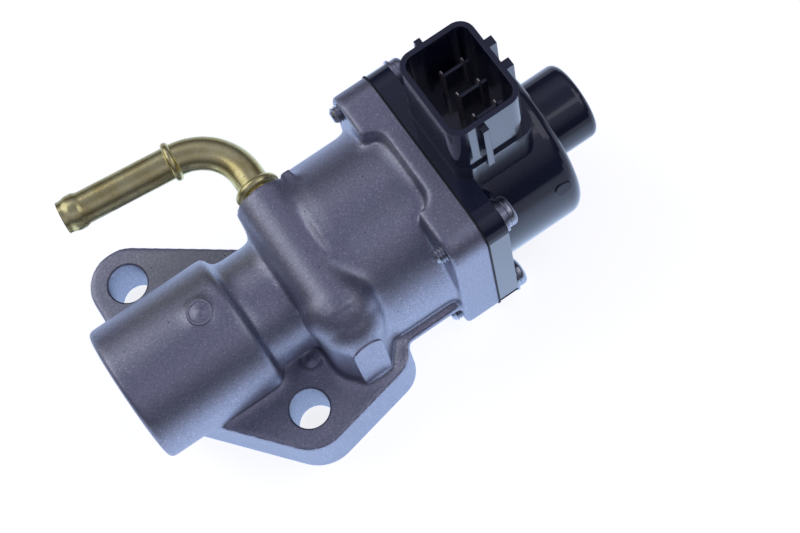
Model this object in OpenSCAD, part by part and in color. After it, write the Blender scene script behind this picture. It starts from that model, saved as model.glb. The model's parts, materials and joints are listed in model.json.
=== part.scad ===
// Exhaust gas recirculation valve, driven by a linear stepper motor.
// X runs along the main axis from the barrel to the motor, +Z points away from the engine,
// and the origin lies on the mounting face, midway between the two bolt holes.

/* [Mounting flange] */
// Distance between the two bolt holes along X
bolt_span_x = 18.1; // [16:0.1:20]
// Distance between the two bolt holes along Y
bolt_span_y = 48.5; // [47:0.1:50]
// Diameter of a bolt hole
bolt_hole_d = 9; // [8:0.1:9.5]
// Thickness of the mounting flange
flange_thickness = 14.8; // [13:0.1:16]
// Radius of the flange round the far bolt hole
far_lug_r = 8.8; // [8:0.1:9.5]
// Radius of the flange round the near bolt hole
near_lug_r = 9.4; // [8.5:0.1:10]
// Distance of each gas port from the valve seat, along X
port_offset = 10.45; // [10.3:0.05:10.8]
// Diameter of a gas port
port_d = 16; // [14:0.5:16]
// Diameter of the coolant port in the mounting face
coolant_port_d = 8; // [6:0.5:8.5]

/* [Main axis] */
// Height of the main axis over the mounting face
axis_height = 24.8; // [24.6:0.1:27]
// Distance of the main axis from the middle of the bolt holes, towards the near side
axis_offset = 2.3; // [1.8:0.1:3]

/* [Barrel and neck] */
// X of the open end of the barrel
barrel_end_x = -21.7; // [-24:0.1:-20]
// Outer radius of the barrel
barrel_r = 16.2; // [15.8:0.1:16.6]
// X of the shoulder where the barrel steps down to the neck
shoulder_x = 8.2; // [7.5:0.1:9]
// Outer radius of the neck
neck_r = 13.3; // [13:0.1:14]
// Radius of the valve chamber inside the barrel
chamber_r = 11.8; // [11.6:0.1:12.2]
// Radius of the gas passage inside the neck
passage_r = 9.2; // [8.5:0.1:9.5]

/* [Main cylinder] */
// X of the front face of the main cylinder
cylinder_x = 31.2; // [31:0.1:32]
// Outer radius of the main cylinder
cylinder_r = 21.6; // [21.2:0.1:22]
// Wall of the main cylinder
cylinder_wall = 4.2; // [3.5:0.1:5]

/* [Square motor flange] */
// X of the face that the motor is bolted to
joint_x = 57.6; // [56.5:0.1:59]
// Half of the width of the square flange
square_half = 23.75; // [23.5:0.05:24]
// Radius of the corners of the square flange
square_corner_r = 6.5; // [4:0.1:7.5]
// Thickness of the square flange at its sides and corners
square_thickness = 8.3; // [7.5:0.1:9]
// Thickness of the square flange where its top and bottom are notched
notch_web = 4.2; // [4:0.1:5]
// Length of the notch along Y
notch_length = 21; // [19:0.5:22]
// Distance of the screws from the sides of the square flange
screw_inset = 4.2; // [4.1:0.05:4.3]
// Nominal diameter of the flange screws
screw_d = 4; // [3.5:0.5:4]
// Length of a flange screw under its head
screw_length = 17.2; // [16.5:0.1:20]

/* [Coolant passage] */
// X of the coolant passage
coolant_x = 25.7; // [25.4:0.1:26]
// Height of the coolant cross passage over the main axis
coolant_height = 14; // [13.5:0.1:15]
// Half of the width of the cross boss
cross_boss_r = 6.8; // [6.6:0.1:7]
// Distance of the far end of the cross boss from the main axis
cross_boss_reach = 15.3; // [14.5:0.1:16]
// Distance of the near coolant tower from the main axis
tower_reach = 17.4; // [17:0.1:18]
// Radius of the near coolant tower at its foot
tower_r = 6.5; // [6.3:0.1:6.8]

/* [Coolant pipe] */
// Outer diameter of the coolant pipe
pipe_d = 7.4; // [6.5:0.1:8]
// Wall of the coolant pipe
pipe_wall = 1; // [0.8:0.1:1.2]
// Radius of the bend, on the centre line
pipe_bend_r = 12.5; // [11:0.5:14]
// Angle of the bend
pipe_bend_angle = 83.4; // [75:0.1:90]
// Length of the straight end that takes the hose
pipe_tail = 27; // [22:0.5:32]

/* [Motor housing] */
// Thickness of the housing's square flange
housing_flange = 5; // [4.5:0.1:6]
// Outer radius of the motor can
can_r = 20.6; // [20.4:0.1:21]
// X of the rear end of the motor can
can_end_x = 84.4; // [84:0.1:87]
// Outer radius of the rear cap
cap_r = 9.2; // [9.2:0.1:10.5]
// X of the rear end of the cap
cap_end_x = 96; // [95.5:0.1:99]
// Wall of the motor can
can_wall = 2.4; // [2.1:0.1:2.6]

/* [Connector] */
// Outer width of the connector shroud along X
shroud_x = 17.3; // [16.8:0.1:18]
// Outer width of the connector shroud along Y
shroud_y = 21.5; // [21:0.1:23]
// Wall of the connector shroud
shroud_wall = 1.2; // [1:0.1:1.6]
// Height of the shroud's rim over the main axis
shroud_height = 45.7; // [44:0.1:48]
// X of the middle of the connector
shroud_mid_x = 69.2; // [69.1:0.1:69.6]
// Distance between neighbouring pins in a row, along Y
pin_pitch = 5.8; // [5.4:0.1:6]
// Distance between the two rows of pins, along X
pin_row_gap = 5.1; // [4.8:0.1:5.6]

/* [Valve and stepper motor] */
// Lift of the valve from closed to fully open
valve_lift = 4.5; // [3:0.1:4.5]
// Radius of the valve stem
stem_r = 3; // [2.8:0.05:3.1]
// Radius of the valve head
head_r = 8.3; // [8.1:0.1:8.6]
// Outer radius of the rotor magnet
magnet_r = 6.8; // [6.6:0.05:6.9]
// Radius of the lead screw
lead_r = 2.5; // [2.3:0.05:2.6]
// Number of balls in each bearing
ball_count = 8; // [6:1:8]
// Number of turns of the return spring
spring_turns = 4.5; // [3.5:0.5:5]

/* [Hidden] */

// Smoothness of round parts
$fn = 64;
// Overlap of a cut past the face that it opens
cut = 1;
// Radial clearance of a shaft that runs in its bore
running = 0.04;
// Clearance between parts that pass each other without touching
passing = 0.3;

// Places of the holes in the mounting face
far_bolt = [-bolt_span_x / 2, bolt_span_y / 2];
near_bolt = [bolt_span_x / 2, -bolt_span_y / 2];
seat_x = 4;
port_y = -0.2;
inlet = [seat_x - port_offset, port_y];
outlet = [seat_x + port_offset, port_y];
coolant_port = [coolant_x, -axis_offset - tower_reach];
port_head_gap = 0.5;
port_depth = axis_height - head_r - port_head_gap;

// Steps of the bore along the main axis
seat_ring_r = 10.6;
seat_ring_length = 4;
seat_bore_r = 7;
seat_cone = 1.2;
plug_depth = 5;
plug_recess = 0.8;
plug_wall = 1.2;
plug_r = chamber_r + 0.9;
passage_end_x = 21;
guide_r = 5.5;
guide_recess = 0.6;
cavity_x = cylinder_x + 3;
cavity_r = cylinder_r - cylinder_wall;

// Joint between the body and the motor
screw_offset = square_half - screw_inset;
gasket_thickness = 0.4;
housing_x = joint_x + gasket_thickness;
head_seat_x = housing_x + housing_flange;
tapped_r = screw_d / 2 + 0.03;
clearance_hole_r = screw_d / 2 + 0.3;

// Coolant pipe, seated in a counterbore of the cross boss
pipe_r = pipe_d / 2;
pipe_seat = 8;
pipe_neck = 6.5;
coolant_bore_r = coolant_port_d / 2 - 0.4;

// Stepper motor, from the front cover to the end of the cap
cover_r = can_r - can_wall;
cover_x = housing_x + 0.2;
cover_thickness = 2;
bearing_r = 8;
bearing_bore_r = 4;
bearing_width = 4;
rotor_hub_r = bearing_bore_r + 0.8;
stator_x = cover_x + cover_thickness + 1.2;
front_bearing_x = stator_x - bearing_width;
stator_end_x = can_end_x - 3.2;
stator_pack = (stator_end_x - stator_x) / 2;
rear_bearing_x = stator_end_x;
wave_gap = 0.7;
yoke_sheet = 1;
stator_bore_r = magnet_r + passing;
tooth_sheet = 0.8;
tooth_gap = 0.6;
tooth_length = stator_pack - 2 * yoke_sheet - tooth_gap;
teeth = 6;
lead_front_x = 50.6;
lead_rear_x = cap_end_x - 4.2;
lead_bore_r = lead_r + 0.08;
flat_share = 0.7;

// Valve train, closed at rest
head_thickness = 2.6;
seat_gap = 0.15;
stem_end_x = lead_front_x;
clip_x = stem_end_x - 2;
clip_thickness = 0.8;
clip_groove_r = stem_r - 0.7;
spring_seat_x = clip_x - 1.4;
spring_seat_sheet = 1.4;
seal_x = cavity_x - 3;
seal_r = 5;
retainer_sheet = 0.9;
spring_wire_r = 0.8;
spring_r = 9.6;
spring_rim_r = spring_r + 2;

// Motor can
can_round = 3.5;

// Connector
shroud_corner = 3.5;
plinth_height = 28.5;
socket_floor = 28;
pin_tip = 38.8;
pin_mid_x = shroud_mid_x + 1.65;
pin_mid_y = 0.25;
pin_x = 0.64;
pin_y = 1.4;
pin_root = 19.5;

// Points of an arc, as a list that can be joined into a profile
function arc(centre, r, from, to, steps = 6) =
    [for (i = [0:steps]) centre + r * [cos(from + (to - from) * i / steps), sin(from + (to - from) * i / steps)]];

// Angle of the outward normal of the tangent that leaves circle a for circle b, both [x, y, r]
function tangent_angle(a, b) =
    atan2(b[1] - a[1], b[0] - a[0]) - 90 + asin((a[2] - b[2]) / norm([b[0] - a[0], b[1] - a[1]]));

function on_circle(c, angle) = [c[0] + c[2] * cos(angle), c[1] + c[2] * sin(angle)];

// Places a child on the main axis, with its own Z along X
module along_axis(x = 0) {
    translate([x, -axis_offset, axis_height])
        rotate([0, 90, 0])
            children();
}

// Places a child with Z up at a height over the main axis
module over_axis(x, y, z) {
    translate([x, y - axis_offset, axis_height + z])
        children();
}

// Repeats a child at the four screws
module at_screws(x) {
    for (y = [-1, 1], z = [-1, 1])
        translate([x, y * screw_offset - axis_offset, z * screw_offset + axis_height])
            rotate([0, 90, 0])
                children();
}

module ring(outer_r, inner_r, length) {
    difference() {
        cylinder(r = outer_r, h = length);
        translate([0, 0, -cut])
            cylinder(r = inner_r, h = length + 2 * cut);
    }
}

// Plate whose outline runs round circles in turn, joined by their outer tangents
module tangent_plate(circles, height) {
    last = len(circles) - 1;
    for (c = circles)
        translate([c[0], c[1], 0])
            cylinder(r = c[2], h = height);
    linear_extrude(height)
        polygon([
            for (i = [0:last])
                let (
                    a = circles[i],
                    b = circles[i < last ? i + 1 : 0],
                    angle = tangent_angle(a, b)
                )
                    each [on_circle(a, angle), on_circle(b, angle)]
        ]);
}

// Prism with a rounded square or rectangular outline about its own Z
module rounded_prism(half_x, half_y, r, height) {
    tangent_plate([
        [-half_x + r, -half_y + r, r], [half_x - r, -half_y + r, r],
        [half_x - r, half_y - r, r], [-half_x + r, half_y - r, r]
    ], height);
}

// Valve body: one aluminium casting

// Barrel, neck and main cylinder turned about the main axis
module body_of_revolution() {
    edge = 0.8;
    step_round = 1.8;
    step_fillet = 1;
    neck_fillet = 3;
    front_round = 2.6;
    along_axis()
        rotate_extrude()
            polygon(concat(
                [[0, barrel_end_x], [barrel_r - edge, barrel_end_x], [barrel_r, barrel_end_x + edge]],
                arc([barrel_r - step_round, shoulder_x - step_round], step_round, 0, 80),
                arc([neck_r + step_fillet, shoulder_x + step_fillet * 0.9], step_fillet, 260, 180),
                arc([neck_r + neck_fillet, cylinder_x - neck_fillet], neck_fillet, 180, 90),
                arc([cylinder_r - front_round, cylinder_x + front_round], front_round, 270, 360),
                [[cylinder_r, joint_x], [0, joint_x]]
            ));
}

module mounting_plate() {
    inlet_corner_r = 4;
    inlet_setback = 3.4;
    outlet_rim = 6.2;
    tangent_plate([
        [near_bolt[0], near_bolt[1], near_lug_r],
        [coolant_port[0] + 2.4, coolant_port[1] - 2.9, coolant_port_d / 2 + 3],
        [outlet[0], outlet[1], port_d / 2 + outlet_rim],
        [far_bolt[0], far_bolt[1], far_lug_r],
        [barrel_end_x + inlet_setback + inlet_corner_r, port_y - 4.4, inlet_corner_r]
    ], flange_thickness);
}

// Thin ledge along the near side, from the mounting flange to the square flange
module side_ledge() {
    ledge_thickness = 2.4;
    ledge_width = 8.5;
    ledge_y = -axis_offset - cylinder_r - 0.5;
    translate([coolant_x, ledge_y, flange_thickness - ledge_thickness])
        cube([joint_x - square_thickness - coolant_x + cut, ledge_width, ledge_thickness]);
}

module square_flange() {
    notch_r = 3.5;
    notch_floor = 16;
    notch_x = square_thickness - notch_web + cut - notch_r;
    notch_y = notch_length / 2 - notch_r;
    difference() {
        along_axis(joint_x - square_thickness)
            rounded_prism(square_half, square_half, square_corner_r, square_thickness);
        for (side = [-1, 1])
            translate([joint_x - square_thickness - cut, -axis_offset, axis_height + side * square_half])
                translate([0, 0, notch_floor - square_half])
                    tangent_plate([
                        [0, -notch_y, notch_r], [notch_x, -notch_y, notch_r],
                        [notch_x, notch_y, notch_r], [0, notch_y, notch_r]
                    ], 2 * (square_half - notch_floor));
    }
}

// Rib with a round top that carries the cross passage over the neck
module cross_boss() {
    boss_length = cross_boss_reach + tower_reach;
    step_width = 2.4;
    step_length = 7.2;
    step_overhang = 1.2;
    step_height = coolant_height + cross_boss_r / 2;
    over_axis(coolant_x, -tower_reach, coolant_height)
        rotate([-90, 0, 0])
            cylinder(r = cross_boss_r, h = boss_length);
    over_axis(coolant_x - cross_boss_r, -tower_reach, flange_thickness - axis_height)
        cube([2 * cross_boss_r, boss_length, coolant_height + axis_height - flange_thickness]);
    over_axis(
        coolant_x + cross_boss_r - step_width / 2,
        cross_boss_reach - step_length + step_overhang, 0
    )
        cube([step_width, step_length, step_height]);
}

// Tower that takes the coolant down to its port, with a domed elbow and a cast pad
module coolant_tower() {
    top_r = tower_r + 1;
    top_z = coolant_height - 3;
    elbow_r = 8.3;
    elbow_place = [coolant_x, 3 - tower_reach, coolant_height - 1.4];
    pad_r = 3.55;
    pad_face = tower_reach + tower_r + 0.9;
    pad_top = coolant_height - 1;
    translate([coolant_port[0], coolant_port[1], 0])
        rotate_extrude()
            polygon(concat(
                [[0, 0], [tower_r, 0]],
                arc([0, axis_height + top_z], top_r, 0, 80, 8),
                [[0, axis_height + top_z + top_r]]
            ));
    over_axis(elbow_place[0], elbow_place[1], elbow_place[2])
        sphere(r = elbow_r);
    over_axis(coolant_x, -pad_face, pad_top - pad_r)
        rotate([-90, 0, 0])
            cylinder(r = pad_r, h = tower_r);
    over_axis(coolant_x - pad_r, -pad_face, flange_thickness - axis_height - cut)
        cube([2 * pad_r, tower_r, pad_top - pad_r + axis_height - flange_thickness + cut]);
}

// Round marks that the die's ejector pins leave on the casting
module ejector_mark(r, height) {
    pip_r = 0.9;
    pip_height = 0.5;
    cylinder(r = r, h = height);
    cylinder(r = pip_r, h = height + pip_height);
}

module ejector_marks() {
    barrel_mark = [1, 0.6];
    flange_mark = [15.3, -15.3];
    mark_height = 0.5;
    sink = 1;
    over_axis(barrel_mark[0], barrel_mark[1], barrel_r - sink)
        ejector_mark(3, sink + mark_height);
    translate([flange_mark[0], flange_mark[1], flange_thickness - sink])
        ejector_mark(2.8, sink + mark_height);
}

module valve_bores() {
    along_axis(barrel_end_x - cut)
        cylinder(r = plug_r, h = plug_depth + plug_recess + cut);
    along_axis(barrel_end_x)
        cylinder(r = chamber_r, h = seat_x - seat_ring_length / 2 - barrel_end_x);
    along_axis(seat_x - seat_ring_length / 2 - cut)
        cylinder(r = seat_ring_r, h = seat_ring_length + cut);
    along_axis(seat_x)
        cylinder(r = passage_r, h = passage_end_x - seat_x);
    along_axis(passage_end_x - cut)
        cylinder(r = guide_r, h = cavity_x - passage_end_x + 2 * cut);
    along_axis(cavity_x)
        cylinder(r = cavity_r, h = joint_x - cavity_x + cut);
}

module face_ports() {
    for (p = [inlet, outlet])
        translate([p[0], p[1], -cut])
            cylinder(d = port_d, h = port_depth + cut);
    translate([coolant_port[0], coolant_port[1], -cut])
        cylinder(d = coolant_port_d, h = axis_height + coolant_height + cut);
}

module coolant_bores() {
    over_axis(coolant_x, -tower_reach, coolant_height)
        rotate([-90, 0, 0])
            cylinder(r = coolant_bore_r, h = tower_reach + cross_boss_reach + cut);
    over_axis(coolant_x, cross_boss_reach - pipe_seat, coolant_height)
        rotate([-90, 0, 0])
            cylinder(r = pipe_r, h = pipe_seat + cut);
}

module bolt_holes() {
    chamfer = 0.4;
    for (p = [far_bolt, near_bolt]) {
        translate([p[0], p[1], -cut])
            cylinder(d = bolt_hole_d, h = flange_thickness + 2 * cut);
        translate([p[0], p[1], flange_thickness - chamfer])
            cylinder(d1 = bolt_hole_d, d2 = bolt_hole_d + 2 * chamfer + 0.02, h = chamfer + 0.01);
    }
}

module valve_body() {
    color("lightsteelblue")
        difference() {
            union() {
                body_of_revolution();
                mounting_plate();
                side_ledge();
                square_flange();
                cross_boss();
                coolant_tower();
                ejector_marks();
            }
            valve_bores();
            face_ports();
            coolant_bores();
            bolt_holes();
            at_screws(joint_x - square_thickness - cut)
                cylinder(r = tapped_r, h = square_thickness + 2 * cut);
        }
}

// Steel cup pressed into the barrel's open end
module barrel_plug() {
    color("silver")
        along_axis(barrel_end_x + plug_recess)
            difference() {
                cylinder(r = plug_r, h = plug_depth);
                translate([0, 0, -cut])
                    cylinder(r = plug_r - plug_wall, h = plug_depth - plug_wall + cut);
            }
}

// Valve and its guide

module valve_seat() {
    start = seat_x - seat_ring_length / 2;
    color("dimgray")
        along_axis(start)
            rotate_extrude()
                polygon([
                    [seat_bore_r + seat_cone, 0], [seat_ring_r, 0],
                    [seat_ring_r, seat_ring_length], [seat_bore_r, seat_ring_length],
                    [seat_bore_r, seat_cone]
                ]);
}

// Head and stem turned in one piece, the head's cone a small gap off the seat
module poppet_valve() {
    cone_x = seat_x - seat_ring_length / 2 - seat_gap;
    neck_length = 3;
    color("gray")
        along_axis(cone_x)
            rotate_extrude()
                polygon(concat(
                    [
                        [0, -head_thickness], [head_r - 0.5, -head_thickness], [head_r, 0.5 - head_thickness],
                        [head_r, seat_bore_r + seat_cone - head_r], [seat_bore_r - 0.2, seat_cone + 0.2]
                    ],
                    [
                        [stem_r, seat_cone + neck_length],
                        [stem_r, clip_x - cone_x], [clip_groove_r, clip_x - cone_x],
                        [clip_groove_r, clip_x + clip_thickness - cone_x],
                        [stem_r, clip_x + clip_thickness - cone_x],
                        [stem_r, stem_end_x - 0.4 - cone_x], [stem_r - 0.4, stem_end_x - cone_x],
                        [0, stem_end_x - cone_x]
                    ]
                ));
}

module stem_guide() {
    color("darkgoldenrod")
        along_axis(passage_end_x + guide_recess)
            ring(guide_r, stem_r + running, seal_x - passage_end_x - guide_recess);
}

module stem_seal() {
    color("black")
        along_axis(seal_x)
            ring(seal_r, stem_r + running, cavity_x - seal_x);
}

// Flanged cup that holds the seal down and carries the fixed end of the spring
module seal_retainer() {
    color("silver")
        along_axis(cavity_x)
            ring(spring_rim_r, stem_r + passing, retainer_sheet);
}

// Coil between the seal retainer and the spring seat
module return_spring() {
    ring_sides = 8;
    steps_per_turn = 20;
    clear = 0.1;
    low = cavity_x + retainer_sheet + spring_wire_r + clear;
    high = spring_seat_x - spring_wire_r - clear;
    steps = round(spring_turns * steps_per_turn);
    points = [
        for (i = [0:steps])
            let (turn = 360 * spring_turns * i / steps, x = low + (high - low) * i / steps)
                for (k = [0:ring_sides - 1])
                    let (
                        a = 360 * k / ring_sides,
                        r = spring_r + spring_wire_r * cos(a)
                    )
                        [x + spring_wire_r * sin(a), r * cos(turn) - axis_offset, r * sin(turn) + axis_height]
    ];
    sides = [
        for (i = [0:steps - 1], k = [0:ring_sides - 1])
            let (
                k2 = (k + 1) % ring_sides,
                p = i * ring_sides,
                q = p + ring_sides
            )
                [p + k, p + k2, q + k2, q + k]
    ];
    first_end = [for (k = [ring_sides - 1:-1:0]) k];
    last_end = [for (k = [0:ring_sides - 1]) steps * ring_sides + k];
    color("silver")
        polyhedron(points, concat(sides, [first_end, last_end]));
}

module spring_seat() {
    color("silver")
        along_axis(spring_seat_x)
            ring(spring_rim_r, stem_r + running, spring_seat_sheet);
}

// Snap ring, open on one side
module spring_clip() {
    clip_r = stem_r + 2;
    color("dimgray")
        along_axis(clip_x)
            difference() {
                ring(clip_r, clip_groove_r, clip_thickness);
                translate([0, -clip_groove_r, -cut])
                    cube([clip_r + cut, 2 * clip_groove_r, clip_thickness + 2 * cut]);
            }
}

// Coolant pipe: bent steel tube with a collar, a hose stop and a flared end

module pipe_profile() {
    difference() {
        circle(r = pipe_r);
        circle(r = pipe_r - pipe_wall);
    }
}

module pipe_bead(r, width) {
    rotate_extrude()
        difference() {
            translate([r - width / 2, 0])
                circle(d = width, $fn = 32);
            square([2 * (pipe_r - pipe_wall / 2), 2 * width], center = true);
        }
}

// Straight end with the hose stop near the bend and the flare at its tip, along its own Z
module pipe_tail_piece() {
    stop_at = 0.6;
    stop_width = 1.8;
    flare_length = 5;
    flare_r = pipe_r + 0.4;
    stop_r = pipe_r + 0.9;
    linear_extrude(pipe_tail)
        pipe_profile();
    translate([0, 0, stop_at])
        pipe_bead(stop_r, stop_width);
    translate([0, 0, pipe_tail - flare_length])
        rotate_extrude()
            polygon([
                [pipe_r - pipe_wall / 2, 0], [pipe_r, 0], [flare_r, 1.2], [flare_r, 2.6],
                [pipe_r - 0.2, flare_length], [pipe_r - pipe_wall, flare_length]
            ]);
}

module coolant_pipe() {
    collar_r = pipe_r + 1.5;
    collar_width = 2.2;
    collar_gap = 1.2;
    color("darkkhaki")
        over_axis(coolant_x, cross_boss_reach, coolant_height) {
            translate([0, -pipe_seat, 0])
                rotate([-90, 0, 0])
                    linear_extrude(pipe_seat + pipe_neck)
                        pipe_profile();
            translate([0, collar_gap + collar_width / 2, 0])
                rotate([-90, 0, 0])
                    pipe_bead(collar_r, collar_width);
            translate([-pipe_bend_r, pipe_neck, 0]) {
                rotate_extrude(angle = pipe_bend_angle)
                    translate([pipe_bend_r, 0])
                        pipe_profile();
                rotate([0, 0, pipe_bend_angle])
                    translate([pipe_bend_r, 0, 0])
                        rotate([-90, 0, 0])
                            pipe_tail_piece();
            }
        }
}

// Joint between body and motor

module joint_gasket() {
    gasket_edge = 0.2;
    color("black")
        difference() {
            along_axis(joint_x)
                rounded_prism(square_half + gasket_edge, square_half + gasket_edge, square_corner_r, gasket_thickness);
            along_axis(joint_x - cut)
                cylinder(r = cavity_r, h = gasket_thickness + 2 * cut);
            at_screws(joint_x - cut)
                cylinder(r = clearance_hole_r, h = gasket_thickness + 2 * cut);
        }
}

// Motor housing: one plastic moulding with the connector

// Can and rear cap turned about the main axis
module can_of_revolution() {
    cap_round = 1.8;
    along_axis()
        rotate_extrude()
            polygon(concat(
                [[0, head_seat_x - cut], [can_r, head_seat_x - cut]],
                arc([can_r - can_round, can_end_x - can_round], can_round, 0, 90, 8),
                [[cap_r, can_end_x]],
                arc([cap_r - cap_round, cap_end_x - cap_round], cap_round, 0, 90, 6),
                [[0, cap_end_x]]
            ));
}

// Foot of the shroud, wider than it at the rear and a little at the sides
module connector_plinth() {
    rear_margin = 1.7;
    side_margin = 0.6;
    over_axis(shroud_mid_x + rear_margin / 2, 0, 0)
        rounded_prism(
            (shroud_x + rear_margin) / 2, shroud_y / 2 + side_margin,
            shroud_corner, plinth_height
        );
}

module connector_shroud() {
    rear_rib = [1.9, 2];
    side_rib = [1.5, 1.6];
    rib_foot = plinth_height - cut;
    rib_height = shroud_height - rib_foot - 0.8;
    over_axis(shroud_mid_x, 0, plinth_height - cut)
        rounded_prism(shroud_x / 2, shroud_y / 2, shroud_corner, shroud_height - plinth_height + cut);
    for (y = [3.2, -2.8])
        over_axis(shroud_mid_x + shroud_x / 2 - cut, y - rear_rib[1] / 2, rib_foot)
            cube([rear_rib[0] + cut, rear_rib[1], rib_height]);
    for (side = [-1, 1])
        over_axis(
            shroud_mid_x - 2 - side_rib[0] / 2,
            side * (shroud_y / 2 + side_rib[1] / 2 - cut / 2) - (side_rib[1] + cut) / 2,
            rib_foot
        )
            cube([side_rib[0], side_rib[1] + cut, rib_height]);
}

// Low walls that tie the two pins of each pair together
module pin_webs() {
    web = 0.7;
    web_drop = 1.2;
    web_tail = 1.6;
    for (i = [0:2])
        let (p = pin_place(i))
            over_axis(p[0], p[1] - pin_y / 2, socket_floor - cut)
                cube([pin_row_gap + web_tail, web, pin_tip - web_drop - socket_floor + cut]);
}

module housing_bores() {
    lead_room = 2;
    cap_wall = 1.8;
    along_axis(housing_x - cut)
        cylinder(r = cover_r, h = stator_end_x - housing_x + cut);
    along_axis(stator_end_x - cut)
        cylinder(r = bearing_r, h = bearing_width + wave_gap + cut);
    along_axis(stator_end_x)
        cylinder(r = lead_r + lead_room, h = cap_end_x - cap_wall - stator_end_x);
}

// Shallow recess along each side face of the housing's flange
module side_recess() {
    recess = 0.3;
    reach = 18.6;
    for (side = [-1, 1])
        over_axis(housing_x - cut, side * (square_half + cut - recess) - cut, -reach)
            cube([housing_flange + 2 * cut, 2 * cut, 2 * reach]);
}

// Small raised mark on the can where the moulding was fed
module gate_mark() {
    mark_height = 0.3;
    tilt = 66;
    rear_r = 1.2;
    front_r = 1.5;
    rear_x = can_end_x - can_round - 0.3;
    front_x = rear_x - 1.4;
    translate([0, -axis_offset, axis_height])
        rotate([tilt, 0, 0])
            tangent_plate([[front_x, 0, front_r], [rear_x, 0, rear_r]], can_r + mark_height);
}

module motor_housing() {
    inner_corner = shroud_corner - shroud_wall;
    color("midnightblue") {
        difference() {
            union() {
                along_axis(housing_x)
                    rounded_prism(square_half, square_half, square_corner_r, housing_flange);
                can_of_revolution();
                gate_mark();
                connector_plinth();
                connector_shroud();
            }
            housing_bores();
            side_recess();
            over_axis(shroud_mid_x, 0, socket_floor)
                rounded_prism(
                    shroud_x / 2 - shroud_wall, shroud_y / 2 - shroud_wall, inner_corner,
                    shroud_height - socket_floor + cut
                );
            at_screws(housing_x - cut)
                cylinder(r = clearance_hole_r, h = housing_flange + 2 * cut);
            for (i = [0:5])
                pin_slot(i);
        }
        difference() {
            pin_webs();
            for (i = [0:5])
                pin_slot(i);
        }
    }
}

// Terminals: three pins in each of two rows
function pin_place(i) = [
    pin_mid_x + (i < 3 ? -1 : 1) * pin_row_gap / 2,
    (i % 3 - 1) * pin_pitch + pin_mid_y
];

module pin_blank(i, height) {
    p = pin_place(i);
    over_axis(p[0] - pin_x / 2, p[1] - pin_y / 2, pin_root)
        cube([pin_x, pin_y, height]);
}

module pin_slot(i) {
    pin_blank(i, pin_tip + cut - pin_root);
}

module terminal(i) {
    tip = 1.1;
    tip_share = 0.5;
    p = pin_place(i);
    color("rosybrown")
        union() {
            pin_blank(i, pin_tip - tip - pin_root);
            over_axis(p[0], p[1], pin_tip - tip)
                linear_extrude(tip, scale = tip_share)
                    square([pin_x, pin_y], center = true);
        }
}

module terminal_1() { terminal(0); }
module terminal_2() { terminal(1); }
module terminal_3() { terminal(2); }
module terminal_4() { terminal(3); }
module terminal_5() { terminal(4); }
module terminal_6() { terminal(5); }

// Front cover and bearings

// Steel plate that closes the motor, holds the front bearing and keys the lead screw
module front_cover() {
    nose_r = 6;
    nose_length = 4;
    hub_r = bearing_r + 1.2;
    hub_floor = 1;
    color("silver")
        difference() {
            union() {
                along_axis(cover_x)
                    cylinder(r = cover_r, h = cover_thickness);
                along_axis(front_bearing_x - hub_floor)
                    cylinder(r = hub_r, h = cover_x + cover_thickness - front_bearing_x + hub_floor);
                along_axis(front_bearing_x - nose_length)
                    cylinder(r = nose_r, h = nose_length);
            }
            along_axis(front_bearing_x)
                cylinder(r = bearing_r, h = bearing_width + cut);
            keyed_bore(front_bearing_x - nose_length - cut, nose_length + 2 * cut, running);
        }
}

// Round bore or shaft with one flat, which stops the lead screw from turning
module keyed_bore(x, length, clearance) {
    flat = lead_r * flat_share;
    along_axis(x)
        intersection() {
            cylinder(r = lead_r + clearance, h = length);
            translate([-2 * lead_r, -2 * lead_r, 0])
                cube([2 * lead_r + flat + clearance, 4 * lead_r, length]);
        }
}

module cover_seal() {
    seal_width = 1.2;
    color("black")
        along_axis(cover_x + cover_thickness)
            ring(cover_r, cover_r - seal_width, seal_width);
}

// Ball bearing races share one groove, cut for balls with a little play
module bearing_groove() {
    ball_play = 0.06;
    rotate_extrude()
        translate([(bearing_r + bearing_bore_r) / 2, bearing_width / 2])
            circle(r = ball_r() + ball_play, $fn = 32);
}

function ball_r() = (bearing_r - bearing_bore_r) * 0.28;
race_thickness = 1;

module bearing_outer(x) {
    color("silver")
        along_axis(x)
            difference() {
                ring(bearing_r, bearing_r - race_thickness, bearing_width);
                bearing_groove();
            }
}

module bearing_inner(x) {
    color("silver")
        along_axis(x)
            difference() {
                ring(bearing_bore_r + race_thickness, bearing_bore_r, bearing_width);
                bearing_groove();
            }
}

module bearing_balls(x) {
    color("gray")
        along_axis(x)
            for (i = [0:ball_count - 1])
                rotate([0, 0, 360 * i / ball_count])
                    translate([(bearing_r + bearing_bore_r) / 2, 0, bearing_width / 2])
                        sphere(r = ball_r(), $fn = 24);
}

module front_bearing_outer() { bearing_outer(front_bearing_x); }
module front_bearing_inner() { bearing_inner(front_bearing_x); }
module front_bearing_balls() { bearing_balls(front_bearing_x); }
module rear_bearing_outer() { bearing_outer(rear_bearing_x); }
module rear_bearing_inner() { bearing_inner(rear_bearing_x); }
module rear_bearing_balls() { bearing_balls(rear_bearing_x); }

module wave_washer() {
    color("silver")
        along_axis(rear_bearing_x + bearing_width)
            ring(bearing_r, bearing_r - race_thickness, wave_gap);
}

// Stator: two identical packs, each a cup, a pole plate, a bobbin and its winding

// Axial teeth round the rotor, leaning on a plate at their root
module pole_teeth(turn, length) {
    tooth_angle = 360 / teeth / 2 - 8;
    for (i = [0:teeth - 1])
        rotate([0, 0, turn + 360 * i / teeth])
            rotate_extrude(angle = tooth_angle)
                translate([stator_bore_r, 0])
                    square([tooth_sheet, length]);
}

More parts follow.
